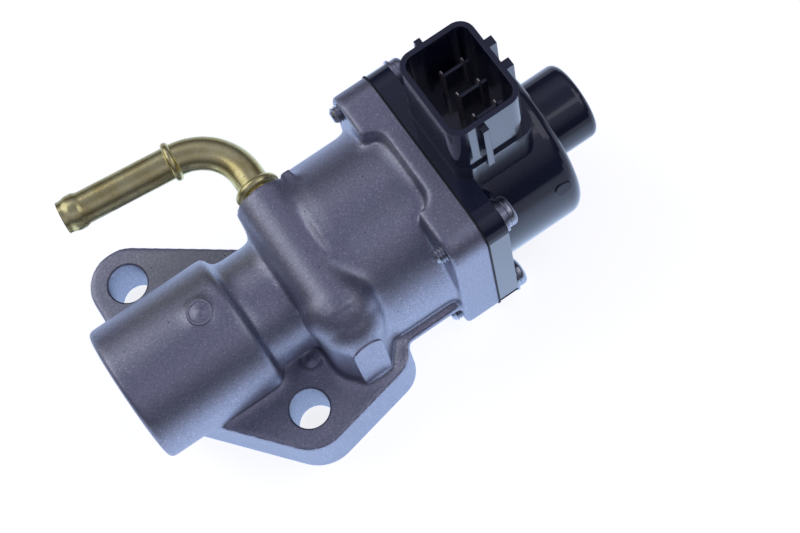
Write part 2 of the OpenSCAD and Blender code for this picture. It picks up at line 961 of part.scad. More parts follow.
module yoke_cup(x) {
    root_r = stator_bore_r + tooth_sheet / 2;
    color("darkgray")
        along_axis(x) {
            rotate_extrude()
                polygon([
                    [root_r, 0], [cover_r, 0], [cover_r, stator_pack - yoke_sheet],
                    [cover_r - yoke_sheet, stator_pack - yoke_sheet],
                    [cover_r - yoke_sheet, yoke_sheet], [root_r, yoke_sheet]
                ]);
            pole_teeth(0, tooth_length + yoke_sheet);
        }
}

module pole_plate(x) {
    color("darkgray")
        along_axis(x + stator_pack - yoke_sheet) {
            ring(cover_r, stator_bore_r, yoke_sheet);
            translate([0, 0, -tooth_length])
                pole_teeth(180 / teeth, tooth_length + yoke_sheet);
        }
}

bobbin_wall = 0.8;
bobbin_bore_r = stator_bore_r + tooth_sheet + 0.05;
bobbin_r = cover_r - yoke_sheet - 0.2;

module bobbin(x) {
    length = stator_pack - 2 * yoke_sheet;
    core_r = bobbin_bore_r + bobbin_wall;
    color("beige")
        along_axis(x + yoke_sheet)
            rotate_extrude()
                polygon([
                    [bobbin_bore_r, 0], [bobbin_r, 0], [bobbin_r, bobbin_wall], [core_r, bobbin_wall],
                    [core_r, length - bobbin_wall], [bobbin_r, length - bobbin_wall],
                    [bobbin_r, length], [bobbin_bore_r, length]
                ]);
}

module winding(x) {
    length = stator_pack - 2 * yoke_sheet - 2 * bobbin_wall;
    color("chocolate")
        along_axis(x + yoke_sheet + bobbin_wall)
            ring(bobbin_r - 0.8, bobbin_bore_r + bobbin_wall, length);
}

module front_yoke() { yoke_cup(stator_x); }
module front_pole_plate() { pole_plate(stator_x); }
module front_bobbin() { bobbin(stator_x); }
module front_winding() { winding(stator_x); }
module rear_yoke() { yoke_cup(stator_x + stator_pack); }
module rear_pole_plate() { pole_plate(stator_x + stator_pack); }
module rear_bobbin() { bobbin(stator_x + stator_pack); }
module rear_winding() { winding(stator_x + stator_pack); }

// Rotor: a threaded hub that runs in both bearings, with a ring magnet on it

module rotor_nut() {
    front = front_bearing_x;
    back = rear_bearing_x + bearing_width;
    color("goldenrod")
        difference() {
            union() {
                along_axis(front)
                    cylinder(r = bearing_bore_r, h = back - front);
                along_axis(stator_x + passing)
                    cylinder(r = rotor_hub_r, h = stator_end_x - stator_x - 2 * passing);
            }
            along_axis(front - cut)
                cylinder(r = lead_bore_r, h = back - front + 2 * cut);
        }
}

module rotor_magnet() {
    inset = 0.8;
    color("dimgray")
        along_axis(stator_x + inset)
            ring(magnet_r, rotor_hub_r, stator_end_x - stator_x - 2 * inset);
}

module lead_screw() {
    tip = 0.5;
    keyed_end = front_bearing_x + valve_lift + passing;
    color("silver")
        union() {
            keyed_bore(lead_front_x, keyed_end - lead_front_x, 0);
            along_axis(keyed_end)
                cylinder(r = lead_r, h = lead_rear_x - tip - keyed_end);
            along_axis(lead_rear_x - tip)
                cylinder(r1 = lead_r, r2 = lead_r - tip, h = tip);
        }
}

// Fasteners: four sets of screw, spring washer and flat washer

flat_washer_r = screw_d - 0.1;
flat_washer_thickness = 0.6;
lock_washer_r = screw_d / 2 + 1.4;
lock_washer_thickness = 0.8;
washer_gap = 0.1;

module flat_washers() {
    color("silver")
        at_screws(head_seat_x)
            ring(flat_washer_r, screw_d / 2 + washer_gap, flat_washer_thickness);
}

// Split ring, cut by one slanted gap
module lock_washers() {
    split = 0.6;
    color("silver")
        at_screws(head_seat_x + flat_washer_thickness)
            difference() {
                ring(lock_washer_r, screw_d / 2 + washer_gap, lock_washer_thickness);
                translate([0, -split / 2, -cut])
                    cube([lock_washer_r + cut, split, lock_washer_thickness + 2 * cut]);
            }
}

// Pan head with a cross recess over a plain shank
module pan_screw() {
    head = screw_d * 0.5;
    head_radius = screw_d * 0.86;
    head_round = 1.2;
    recess = 1.3;
    recess_width = 0.8;
    recess_length = 3.8;
    translate([0, 0, -screw_length])
        cylinder(r = screw_d / 2, h = screw_length);
    difference() {
        rotate_extrude()
            polygon(concat(
                [[0, 0], [head_radius - 0.1, 0]],
                arc([head_radius - head_round, head - head_round], head_round, 0, 78, 5),
                [[0, head + 0.2]]
            ));
        for (turn = [0, 90])
            rotate([0, 0, turn])
                translate([-recess_length / 2, -recess_width / 2, head - recess])
                    cube([recess_length, recess_width, recess + cut]);
    }
}

module flange_screws() {
    color("silver")
        at_screws(head_seat_x + flat_washer_thickness + lock_washer_thickness)
            pan_screw();
}

valve_body();
barrel_plug();
valve_seat();
poppet_valve();
stem_guide();
stem_seal();
seal_retainer();
return_spring();
spring_seat();
spring_clip();
joint_gasket();
coolant_pipe();
motor_housing();
front_cover();
cover_seal();
front_bearing_outer();
front_bearing_inner();
front_bearing_balls();
rear_bearing_outer();
rear_bearing_inner();
rear_bearing_balls();
wave_washer();
front_yoke();
front_pole_plate();
front_bobbin();
front_winding();
rear_yoke();
rear_pole_plate();
rear_bobbin();
rear_winding();
rotor_nut();
rotor_magnet();
lead_screw();
terminal_1();
terminal_2();
terminal_3();
terminal_4();
terminal_5();
terminal_6();
flat_washers();
lock_washers();
flange_screws();
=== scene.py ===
# %% [markdown]
# # An exhaust gas recirculation valve
# The valve is a die-cast aluminium body with a bent coolant pipe on its far side, and a black
# plastic stepper motor screwed to its square flange. The exact solids come from the packed
# model, so this script only adds what a photograph shows on top of them: soft casting radii,
# threads on the screws, grain, gloss and light. Everything is in metres, in the model's frame.

import json
import math

import bmesh
import bpy
import numpy as np
from mathutils import Matrix, Vector


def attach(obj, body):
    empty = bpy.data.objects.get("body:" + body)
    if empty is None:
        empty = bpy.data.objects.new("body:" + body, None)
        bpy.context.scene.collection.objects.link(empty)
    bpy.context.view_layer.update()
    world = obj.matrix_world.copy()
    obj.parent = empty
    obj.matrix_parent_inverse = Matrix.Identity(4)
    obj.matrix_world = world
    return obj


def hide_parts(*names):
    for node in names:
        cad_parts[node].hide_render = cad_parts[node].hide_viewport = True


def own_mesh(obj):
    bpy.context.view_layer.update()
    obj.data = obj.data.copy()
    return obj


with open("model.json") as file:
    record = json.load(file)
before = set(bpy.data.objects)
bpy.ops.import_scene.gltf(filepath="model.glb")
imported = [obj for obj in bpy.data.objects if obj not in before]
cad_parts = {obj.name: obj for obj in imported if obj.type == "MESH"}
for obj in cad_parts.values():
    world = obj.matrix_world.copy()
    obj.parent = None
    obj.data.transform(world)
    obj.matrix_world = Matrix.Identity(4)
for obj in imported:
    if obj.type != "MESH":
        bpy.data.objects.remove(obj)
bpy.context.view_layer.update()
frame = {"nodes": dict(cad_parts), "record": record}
MM = 0.001
AXIS_Y, AXIS_Z = -2.3, 24.8      # the main axis runs along X at this place

# %% [markdown]
# ## Camera
# The camera stands where the photographer stood. Its place and its three axes were solved from
# the bolt holes, the flange's outline and the edges of the square flange. The right, up and back
# axes are the columns of the camera's matrix.

# %% Place the camera
right = Vector((0.82589292, -0.5528927, -0.11050135))
up = Vector((0.55603078, 0.76619919, 0.3221313))
back = Vector((-0.093438, -0.32748811, 0.94022384))
place = Vector((3.95, -146.83, 411.23)) * MM
camera_data = bpy.data.cameras.new("camera")
camera_data.sensor_width = 36.0
camera_data.lens = 36.0 * 1893.36 / 800
camera = bpy.data.objects.new("camera", camera_data)
bpy.context.scene.collection.objects.link(camera)
camera.matrix_world = Matrix((
    (right.x, up.x, back.x, place.x),
    (right.y, up.y, back.y, place.y),
    (right.z, up.z, back.z, place.z),
    (0, 0, 0, 1)))
bpy.context.scene.camera = camera
bpy.context.scene.view_settings.view_transform = "Standard"
print("lens:", round(camera_data.lens, 2), "mm")

# %% [markdown]
# ## Modelling helpers
# An operator acts on whatever is selected, so each step starts from an empty selection. A new
# piece is modelled where it stands, and its place is then written into its mesh.


# %% Helpers for pieces
def select_only(*objects):
    """Selects these objects, the first one active."""
    bpy.ops.object.select_all(action="DESELECT")
    for thing in objects:
        thing.select_set(True)
    bpy.context.view_layer.objects.active = objects[0]


def bake_place(piece):
    """Writes a piece's place, turn and scale into its mesh."""
    select_only(piece)
    bpy.ops.object.transform_apply(location=True, rotation=True, scale=True)


def copy_of_node(node, name):
    """A free copy of a CAD node, its loose triangles welded."""
    piece = bpy.data.objects.new(name, frame["nodes"][node].data.copy())
    bpy.context.scene.collection.objects.link(piece)
    piece.data.materials.clear()
    select_only(piece)
    bpy.ops.object.mode_set(mode="EDIT")
    bpy.ops.mesh.select_all(action="SELECT")
    bpy.ops.mesh.remove_doubles(threshold=0.002 * MM)
    bpy.ops.object.mode_set(mode="OBJECT")
    return piece


def rod(name, x, y, z, radius, length, along="Z", sides=64):
    """A cylinder that starts at a place in mm and runs along an axis."""
    turn = {"Z": (0, 0, 0), "X": (0, math.pi / 2, 0), "Y": (-math.pi / 2, 0, 0)}[along]
    step = {"Z": (0, 0, 1), "X": (1, 0, 0), "Y": (0, 1, 0)}[along]
    middle = [(v + s * length / 2) * MM for v, s in zip((x, y, z), step)]
    bpy.ops.object.select_all(action="DESELECT")
    bpy.ops.mesh.primitive_cylinder_add(
        vertices=sides, radius=radius * MM, depth=length * MM, location=middle, rotation=turn)
    piece = bpy.context.active_object
    piece.name = name
    bake_place(piece)
    return piece


def block(name, low, high):
    """A box between two corners in mm."""
    middle = [(a + b) / 2 * MM for a, b in zip(low, high)]
    bpy.ops.object.select_all(action="DESELECT")
    bpy.ops.mesh.primitive_cube_add(size=1, location=middle)
    piece = bpy.context.active_object
    piece.scale = [(b - a) * MM for a, b in zip(low, high)]
    piece.name = name
    bake_place(piece)
    return piece


def joined(name, pieces):
    """Several pieces as one object."""
    select_only(*pieces)
    bpy.ops.object.join()
    pieces[0].name = name
    return pieces[0]


def carve(piece, cutter, operation="DIFFERENCE"):
    """Cuts one closed mesh with another, and drops the cutter."""
    select_only(piece)
    step = piece.modifiers.new("carve", "BOOLEAN")
    step.object = cutter
    step.operation = operation
    step.solver = "EXACT"
    bpy.ops.object.modifier_apply(modifier="carve")
    bpy.data.objects.remove(cutter, do_unlink=True)
    return piece


def turned(name, profile, x, y, z, along="X", sides=64):
    """A lathe shape from a profile of (radius, distance along the axis) in mm, both ends on the axis."""
    mesh = bpy.data.meshes.new(name)
    mesh.from_pydata(
        [(r * MM, 0, d * MM) for r, d in profile], [(i, i + 1) for i in range(len(profile) - 1)], [])
    piece = bpy.data.objects.new(name, mesh)
    bpy.context.scene.collection.objects.link(piece)
    select_only(piece)
    bpy.ops.object.mode_set(mode="EDIT")
    bpy.ops.mesh.select_all(action="SELECT")
    bpy.ops.mesh.spin(steps=sides, angle=2 * math.pi, center=(0, 0, 0), axis=(0, 0, 1))
    bpy.ops.mesh.select_all(action="SELECT")
    bpy.ops.mesh.remove_doubles(threshold=0.001 * MM)
    bpy.ops.mesh.normals_make_consistent(inside=False)
    bpy.ops.object.mode_set(mode="OBJECT")
    turn = {"Z": (0, 0, 0), "X": (0, math.pi / 2, 0), "Y": (-math.pi / 2, 0, 0)}[along]
    piece.rotation_euler = turn
    piece.location = (x * MM, y * MM, z * MM)
    bake_place(piece)
    return piece


# %% [markdown]
# ## Materials as arithmetic
# A finish is worked out with plain signs. `Signal` wraps one output socket, and each sign adds
# the Math node that does the same sum. `Finish.node` adds any other node: its settings go in
# first, then the values or links of its sockets.


# %% Signal and Finish
class Signal:
    """An output socket that takes part in sums."""

    def __init__(self, finish, socket):
        self.finish, self.socket = finish, socket

    def sum(self, operation, first, second):
        return self.finish.node("ShaderNodeMath", {"operation": operation}, {0: first, 1: second})

    def __add__(self, other):
        return self.sum("ADD", self, other)

    def __radd__(self, other):
        return self.sum("ADD", other, self)

    def __sub__(self, other):
        return self.sum("SUBTRACT", self, other)

    def __rsub__(self, other):
        return self.sum("SUBTRACT", other, self)

    def __mul__(self, other):
        return self.sum("MULTIPLY", self, other)

    def __rmul__(self, other):
        return self.sum("MULTIPLY", other, self)


class Finish:
    """A material being mixed."""

    def __init__(self, name):
        self.material = bpy.data.materials.new(name)
        self.material.use_nodes = True
        self.tree = self.material.node_tree
        self.tree.nodes.clear()
        self.place = self.node("ShaderNodeTexCoord", output="Object")

    def node(self, kind, settings=None, sockets=None, output=0):
        """Adds a node with these settings and sockets, and gives one of its outputs."""
        made = self.tree.nodes.new(kind)
        for key, value in (settings or {}).items():
            if key == "stops":
                while len(made.color_ramp.elements) < len(value):
                    made.color_ramp.elements.new(0.5)
                for element, (at, tone) in zip(made.color_ramp.elements, value):
                    element.position = at
                    element.color = (*tone, 1.0) if isinstance(tone, tuple) else (tone, tone, tone, 1.0)
            else:
                setattr(made, key, value)
        for key, value in (sockets or {}).items():
            if isinstance(value, Signal):
                self.tree.links.new(value.socket, made.inputs[key])
            else:
                made.inputs[key].default_value = value
        return Signal(self, made.outputs[output])

    def stretched(self, scale):
        """Object coordinates, drawn out along some axes."""
        return self.node("ShaderNodeMapping", None, {"Vector": self.place, "Scale": scale})

    def noise(self, size, detail=2.0, roughness=0.5, place=None):
        """Noise whose features are about this many mm across."""
        return self.node("ShaderNodeTexNoise", None, {
            "Vector": place or self.place, "Scale": 1 / (size * MM), "Detail": detail,
            "Roughness": roughness})

    def cells(self, size):
        """The distance to the nearest of many scattered points, this many mm apart."""
        return self.node("ShaderNodeTexVoronoi", None, {"Vector": self.place, "Scale": 1 / (size * MM)})

    def ramp(self, value, *stops):
        """A colour ramp with its stops as (place, tone)."""
        return self.node("ShaderNodeValToRGB", {"stops": stops}, {"Fac": value})

    def blend(self, share, first, second):
        """A mix of two colours."""
        first = (*first, 1.0) if isinstance(first, tuple) else first
        second = (*second, 1.0) if isinstance(second, tuple) else second
        return self.node("ShaderNodeMix", {"data_type": "RGBA"}, {0: share, 6: first, 7: second}, output=2)

    def relief(self, height, depth, edge=0.0):
        """A bump of this depth in mm, over edges that catch the light as if rounded by edge mm."""
        sockets = {"Height": height, "Distance": depth * MM}
        if edge:
            sockets["Normal"] = self.node("ShaderNodeBevel", {"samples": 6}, {"Radius": edge * MM})
        return self.node("ShaderNodeBump", None, sockets)

    def close(self, colour, roughness, normal, **fixed):
        """Ends the material in a Principled shader, with constants for its other sockets."""
        shader = self.node("ShaderNodeBsdfPrincipled", None, {
            "Base Color": colour, "Roughness": roughness, "Normal": normal,
            **{key.replace("_", " "): value for key, value in fixed.items()}})
        self.end(shader)
        return self.material

    def end(self, shader):
        """Links a shader to the material's output."""
        out = self.tree.nodes.new("ShaderNodeOutputMaterial")
        self.tree.links.new(shader.socket, out.inputs["Surface"])


# %% [markdown]
# ## Cast aluminium
# Die-cast aluminium that has been shot-blasted is grey with a cool cast, and close up it is
# covered in a fine grain with bright specks where the shot has opened the skin. Large, faint
# clouds break up the tone. The grain is bump, so light from any side brings it out.

# %% Mix the casting's finish
def cast_aluminium():
    """Grey metal with grain, clouds, bright specks and a few pits painted near-black as painted shade."""
    skin = Finish("cast_aluminium")
    grain = skin.noise(0.5, 3.0, 0.65)
    fine = skin.noise(0.2, 2.0, 0.6)
    clouds = skin.noise(11.0, 3.0, 0.55)
    specks = skin.ramp(skin.noise(0.42, 2.0), (0.58, 0.0), (0.70, 1.0))
    pits = skin.ramp(skin.cells(3.0), (0.035, 1.0), (0.06, 0.0))
    tone = skin.blend(clouds, (0.315, 0.330, 0.410), (0.395, 0.410, 0.500))
    tone = skin.blend(skin.ramp(grain, (0.36, 0.0), (0.62, 1.0)) * 0.8, tone, (0.50, 0.50, 0.58))
    tone = skin.blend(specks * 0.6, tone, (0.78, 0.77, 0.86))
    # Painted shade: the pits are pressed in by the bump, and their near-black colour is painted shade
    # inside them.
    tone = skin.blend(pits * 0.8, tone, (0.05, 0.05, 0.07))
    height = grain * 0.6 + fine * 0.4 - pits * 0.8
    return skin.close(
        tone, 0.39 + (fine - 0.5) * 0.3, skin.relief(height, 0.085), Metallic=0.96)


aluminium = cast_aluminium()

# %% [markdown]
# ## Plated and turned steel
# The screws and washers are zinc plated: bright, a little blue, with soft marks from the plating
# drum. The same recipe with other tones serves the pressed steel and the turned valve inside.


# %% Mix the steels
def plated(name, dark, light, roughness, scratch=0.25):
    """A steel, bronze or tin surface between two tones, with haze and drawn-out marks."""
    metal = Finish(name)
    haze = metal.noise(2.5, 3.0, 0.6)
    marks = metal.noise(0.5, 2.0, 0.5, metal.stretched((1.0, 0.25, 1.0)))
    tone = metal.blend(haze, dark, light)
    return metal.close(
        tone, roughness + (haze - 0.5) * 0.18 + (marks - 0.5) * scratch,
        metal.relief(marks * 0.7 + haze * 0.3, 0.02, 0.12), Metallic=1.0)


zinc = plated("zinc_plate", (0.42, 0.44, 0.50), (0.62, 0.64, 0.70), 0.26)
turned_steel = plated("turned_steel", (0.24, 0.23, 0.22), (0.36, 0.35, 0.34), 0.32)
ground_steel = plated("ground_steel", (0.52, 0.53, 0.55), (0.66, 0.67, 0.69), 0.16, 0.1)
spring_steel = plated("spring_steel", (0.26, 0.27, 0.29), (0.38, 0.39, 0.41), 0.3)
pressed_steel = plated("pressed_steel", (0.36, 0.37, 0.39), (0.48, 0.49, 0.51), 0.38)
bronze = plated("sintered_bronze", (0.40, 0.25, 0.11), (0.58, 0.38, 0.18), 0.45)
tin = plated("tin_plate", (0.72, 0.66, 0.62), (0.88, 0.82, 0.76), 0.5)

# %% [markdown]
# ## Yellow passivated pipe
# A yellow zinc coat is a thin film, so its colour drifts between straw, olive and brown. It
# dulls in blotches and gathers small dark spots where it was handled.


# %% Mix the pipe's finish
def yellow_zinc():
    """A straw-coloured coat that drifts, with brown blotches and dark spots."""
    coat = Finish("yellow_zinc")
    drift = coat.noise(6.0, 3.0, 0.6)
    blotch = coat.noise(1.2, 4.0, 0.65)
    spots = coat.ramp(coat.cells(1.7), (0.07, 1.0), (0.13, 0.0))
    tone = coat.blend(coat.ramp(drift, (0.36, 0.0), (0.64, 1.0)), (0.80, 0.68, 0.27), (1.0, 0.92, 0.46))
    tone = coat.blend((blotch - 0.5) * 1.2, tone, (0.40, 0.27, 0.11))
    tone = coat.blend(spots * 0.5, tone, (0.10, 0.075, 0.05))
    return coat.close(
        tone, 0.25 + (blotch - 0.5) * 0.25 + spots * 0.15,
        coat.relief(blotch * 0.6 + drift * 0.4, 0.03, 0.2), Metallic=0.9)


passivated = yellow_zinc()

# %% [markdown]
# ## Black motor plastic
# The housing is a smooth glass-filled moulding. Under its clear gloss lies a near-black base
# with a hint of blue, a very shallow orange peel, and dust that has settled as pale points.


# %% Mix the plastics and rubbers
def gloss_plastic():
    """Near-black moulding under a clear gloss."""
    shell = Finish("gloss_black")
    peel = shell.noise(1.6, 2.0, 0.5)
    flow = shell.noise(9.0, 2.0, 0.5, shell.stretched((0.4, 1.0, 1.0)))
    dust = shell.ramp(shell.noise(0.22, 0.0), (0.78, 0.0), (0.84, 1.0))
    tone = shell.blend(flow, (0.0080, 0.0130, 0.040), (0.0110, 0.0175, 0.054))
    tone = shell.blend(dust * 0.35, tone, (0.20, 0.20, 0.22))
    return shell.close(
        tone, 0.16 + (flow - 0.5) * 0.1 + dust * 0.25, shell.relief(peel, 0.006, 0.35),
        IOR=1.5, Coat_Weight=0.9, Coat_Roughness=0.06, Coat_IOR=1.58)


def matt(name, dark, light, roughness, grain=0.5):
    """Rubber, coated sheet, bobbin plastic and ferrite."""
    matter = Finish(name)
    speck = matter.noise(grain, 3.0, 0.6)
    cloud = matter.noise(5.0, 2.0, 0.5)
    tone = matter.blend((speck + cloud) * 0.5, dark, light)
    return matter.close(tone, roughness + (speck - 0.5) * 0.2, matter.relief(speck, 0.03))


def wound_copper():
    """Enamelled wire, whose turns lie side by side along the main axis, with painted shade in the grooves
    between them.
    """
    wire = Finish("wound_copper")
    turns = wire.node("ShaderNodeTexWave", {"bands_direction": "X"}, {
        "Vector": wire.place, "Scale": 1 / (2.2 * MM), "Distortion": 0.2})
    # Painted shade: the tone runs dark in the grooves between the turns, where the bump is lowest, and
    # light on their crowns.
    tone = wire.blend(turns, (0.18, 0.06, 0.025), (0.52, 0.22, 0.10))
    return wire.close(tone, 0.34 + turns * 0.1, wire.relief(turns, 0.12), Metallic=0.6)


black_plastic = gloss_plastic()
rubber = matt("seal_rubber", (0.012, 0.012, 0.013), (0.03, 0.03, 0.032), 0.7)
coated_sheet = matt("coated_sheet", (0.010, 0.010, 0.012), (0.026, 0.026, 0.03), 0.6, 0.3)
bobbin_plastic = matt("bobbin_plastic", (0.45, 0.42, 0.33), (0.56, 0.53, 0.43), 0.5, 0.8)
ferrite = matt("ferrite", (0.03, 0.03, 0.032), (0.06, 0.06, 0.065), 0.55, 0.25)
copper = wound_copper()

# %% [markdown]
# ## Dress the solids
# Solids whose shape is already right only take a finish. The bearings, stator and valve lie
# inside, but they are dressed too, because the model can be opened.

# %% Give every solid its finish
FINISHES = {
    "cast_aluminium": aluminium, "zinc_steel": zinc, "yellow_zinc": passivated,
    "valve_steel": turned_steel, "bearing_steel": ground_steel, "spring_steel": spring_steel,
    "guide_bronze": bronze, "seal_rubber": rubber, "gasket_coating": coated_sheet,
    "black_plastic": black_plastic, "stator_steel": pressed_steel, "bobbin_plastic": bobbin_plastic,
    "copper_winding": copper, "ferrite": ferrite, "tinned_terminal": tin,
}
for part in frame["record"]["subparts"]:
    solid = frame["nodes"][part["node"]]
    solid.data.materials.clear()
    solid.data.materials.append(FINISHES[part["material_slot"]])

# %% [markdown]
# ## The casting's skin
# A casting has no sharp inner corner: metal flows round every junction in a fillet. Modelling each
# fillet by hand would take long, so the skin is grown instead. The solid's holes are plugged, the
# whole is remeshed into small even squares, and only the hollow corners are filled, as if
# a soft wax ran into them. Then the machined faces and holes are cut again, crisp.


# %% Plug the holes and remesh
def neighbour_mean(count, edges):
    """A function that averages each point's neighbours."""
    first, second = np.concatenate([edges, edges[:, ::-1]]).T
    degree = np.bincount(first, minlength=count)[:, None].clip(1)

    def mean(points):
        total = np.stack([np.bincount(first, points[second, i], count) for i in range(3)], 1)
        return total / degree
    return mean


def vertex_normals(points, quads):
    """Outward normals of a mesh of squares."""
    face = np.cross(points[quads[:, 2]] - points[quads[:, 0]], points[quads[:, 3]] - points[quads[:, 1]])
    normal = np.zeros_like(points)
    for i in range(4):
        for j in range(3):
            normal[:, j] += np.bincount(quads[:, i], face[:, j], len(points))
    return normal / np.linalg.norm(normal, axis=1)[:, None].clip(1e-12)


def bore_cutters():
    """The machined bore along the main axis, from the barrel to the motor."""
    profile = [
        (0, -23), (12.7, -23), (12.7, -15.9), (11.8, -15.9), (11.8, 2), (10.6, 2), (10.6, 4.4),
        (9.2, 4.4), (9.2, 21), (5.5, 21), (5.5, 34.2), (17.4, 34.2), (17.4, 60), (0, 60)]
    return turned("bore", profile, 0, AXIS_Y, AXIS_Z)


BOLTS = [(-9.05, 24.25), (9.05, -24.25)]
COOLANT_X, TOWER_Y, PASSAGE_Z = 25.7, -19.7, 38.8
PORTS = [(-6.45, -0.2, 8.0, 16.0), (14.45, -0.2, 8.0, 16.0), (COOLANT_X, TOWER_Y, 4.0, PASSAGE_Z)]
MOTOR_JOINT_X = 57.6
SCREWS = [(y + AXIS_Y, z + AXIS_Z) for y in (-19.55, 19.55) for z in (-19.55, 19.55)]


def brow():
    """The main cylinder's front edge, which stands further forward where the cross boss runs into it."""
    sector = turned("brow", [(0, 29.9), (20.4, 29.9), (21.3, 30.8), (21.5, 34), (0, 34)], 0, AXIS_Y, AXIS_Z)
    keep = block("keep", (29, AXIS_Y - 17, AXIS_Z + 9), (35, AXIS_Y + 12, AXIS_Z + 30))
    return carve(sector, keep, "INTERSECT")


def plugged_solid():
    """The CAD casting, its machined faces drawn out and every hole filled."""
    skin = copy_of_node("valve_body", "casting")
    mesh = bmesh.new()
    mesh.from_mesh(skin.data)
    for normal, level, out in (((0, 0, -1), 0.0, 2.5), ((1, 0, 0), MOTOR_JOINT_X, 2.5)):
        normal = Vector(normal)
        flat = [f for f in mesh.faces if f.normal.dot(normal) > 0.999
                and abs(f.calc_center_median().dot(normal) - level * MM) < 0.02 * MM]
        grown = bmesh.ops.extrude_face_region(mesh, geom=flat)["geom"]
        moved = [v for v in grown if isinstance(v, bmesh.types.BMVert)]
        bmesh.ops.translate(mesh, verts=moved, vec=normal * out * MM)
        bmesh.ops.delete(mesh, geom=flat, context="FACES")
    mesh.to_mesh(skin.data)
    mesh.free()
    plugs = [rod("plug", x, y, -2.4, 5.0, 17.2) for x, y in BOLTS]
    plugs += [rod("plug", x, y, -2.4, r + 0.5, top - 4) for x, y, r, top in PORTS]
    plugs += [rod("plug", 50.2, y, z, 3.0, 9.0, "X") for y, z in SCREWS]
    plugs.append(rod("plug", -21.0, AXIS_Y, AXIS_Z, 13.5, 20.0, "X"))
    plugs.append(rod("plug", -2.0, AXIS_Y, AXIS_Z, 11.0, 36.0, "X"))
    plugs.append(rod("plug", 33.0, AXIS_Y, AXIS_Z, 18.5, 27.0, "X"))
    plugs.append(rod("plug", COOLANT_X, TOWER_Y, PASSAGE_Z, 4.6, 32.4, "Y"))
    plugs.append(brow())
    return joined("casting", [skin] + plugs)


SQUARE = 0.56                    # side of the skin's squares, in mm
casting = plugged_solid()
remesh = casting.modifiers.new("even", "REMESH")
remesh.mode = "VOXEL"
remesh.voxel_size = SQUARE * MM
remesh.adaptivity = 0.0
select_only(casting)
bpy.ops.object.modifier_apply(modifier="even")
print("casting remeshed to", len(casting.data.polygons), "faces")

# %% [markdown]
# The wax step works on the points as arrays. A point lies in a hollow where the mean of its
# neighbours is on its outer side, and only there does it move. The fillet widens with each
# round. A few rounds over all points come first, and take the sharpness off the outer edges.

# %% Fill the hollows
SOFTENING_ROUNDS, WAX_ROUNDS = 3, 20
EVEN_OUT_AFTER = 12              # wax rounds before all points are evened out once
count = len(casting.data.vertices)
points = np.empty(count * 3)
casting.data.vertices.foreach_get("co", points)
points = points.reshape(-1, 3)
edges = np.empty(len(casting.data.edges) * 2, int)
casting.data.edges.foreach_get("vertices", edges)
mean_of = neighbour_mean(count, edges.reshape(-1, 2))
corners = np.empty(len(casting.data.loops), int)
casting.data.loops.foreach_get("vertex_index", corners)
quads = corners.reshape(-1, 4)
for step in range(SOFTENING_ROUNDS):
    points += 0.5 * (mean_of(points) - points)
for step in range(WAX_ROUNDS):
    if step % 10 == 0:
        outward = vertex_normals(points, quads)
    shift = mean_of(points) - points
    rise = (shift * outward).sum(1)
    points += outward * (0.8 * (rise - 0.0008 * MM)).clip(0)[:, None]
    if step + 1 == EVEN_OUT_AFTER:
        points += 0.35 * (mean_of(points) - points)
casting.data.vertices.foreach_set("co", points.ravel())
casting.data.update()
print("hollows filled")

# %% [markdown]
# The wax has swallowed the shallow pad on the coolant tower's near side. It is a round bar whose
# lower half is pulled down to the flange, and its rim is bevelled before it joins the skin.

# %% Set the tower's pad back in
PAD_R, PAD_MIDDLE = 3.55, AXIS_Z + 9.45
UNDER_FLANGE_TOP = 13.8
pad = rod("pad", COOLANT_X, AXIS_Y - 24.95, PAD_MIDDLE, PAD_R, 8, "Y")
select_only(pad)
bpy.ops.object.mode_set(mode="EDIT")
edit = bmesh.from_edit_mesh(pad.data)
for vertex in edit.verts:
    if vertex.co.z < (PAD_MIDDLE - 0.15) * MM:
        vertex.co.z = UNDER_FLANGE_TOP * MM
bmesh.update_edit_mesh(pad.data)
bpy.ops.object.mode_set(mode="OBJECT")
rim = pad.modifiers.new("rim", "BEVEL")
rim.width, rim.segments = 0.45 * MM, 2
rim.limit_method, rim.angle_limit = "ANGLE", math.radians(50)
bpy.ops.object.modifier_apply(modifier="rim")
carve(casting, pad, "UNION")

# %% [markdown]
# Machining comes last, as in the works: the mounting face and the motor joint are milled flat,
# then the bolt holes, ports, main bore, coolant passage and screw holes are drilled.

# %% Machine the faces and holes
carve(casting, joined("mill", [
    block("mill", (-40, -60, -20), (50, 60, 0)),
    block("mill", (MOTOR_JOINT_X, -60, -5), (80, 60, 80))]))
BOLT_HOLE = [(0, -1), (4.5, -1), (4.5, 14.4), (4.95, 14.85), (4.95, 18), (0, 18)]
PASSAGE = [(0, 0), (3.6, 0), (3.6, 24.7), (3.7, 24.7), (3.7, 36), (0, 36)]
holes = [turned("drill", BOLT_HOLE, x, y, 0, "Z") for x, y in BOLTS]
holes += [rod("drill", 47, y, z, 2.03, 12, "X", 32) for y, z in SCREWS]
carve(casting, joined("drill", holes))
carve(casting, joined("drill", [rod("drill", x, y, -1, r, top + 1) for x, y, r, top in PORTS]))
carve(casting, bore_cutters())
carve(casting, turned("drill", PASSAGE, COOLANT_X, TOWER_Y, PASSAGE_Z, "Y"))
casting.data.materials.append(aluminium)
select_only(casting)
bpy.ops.object.shade_smooth_by_angle(angle=math.radians(38))
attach(casting, "base")
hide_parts("valve_body")
casting.data.calc_loop_triangles()
print("casting has", len(casting.data.loop_triangles), "triangles")

# %% [markdown]
# ## Coolant pipe
# The pipe's solid is made of small flat faces, and a bright metal shows each one. A welded copy
# with smooth shading takes its place. Large faces weigh most in the shading, so the long straight
# stays straight in its reflections.

# %% Smooth the pipe
pipe = copy_of_node("coolant_pipe", "pipe")
pipe.data.materials.append(passivated)
bpy.ops.object.shade_smooth_by_angle(angle=math.radians(24))
weighted = pipe.modifiers.new("weighted", "WEIGHTED_NORMAL")
weighted.keep_sharp = True
bpy.ops.object.modifier_apply(modifier="weighted")
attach(pipe, "base")
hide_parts("coolant_pipe")
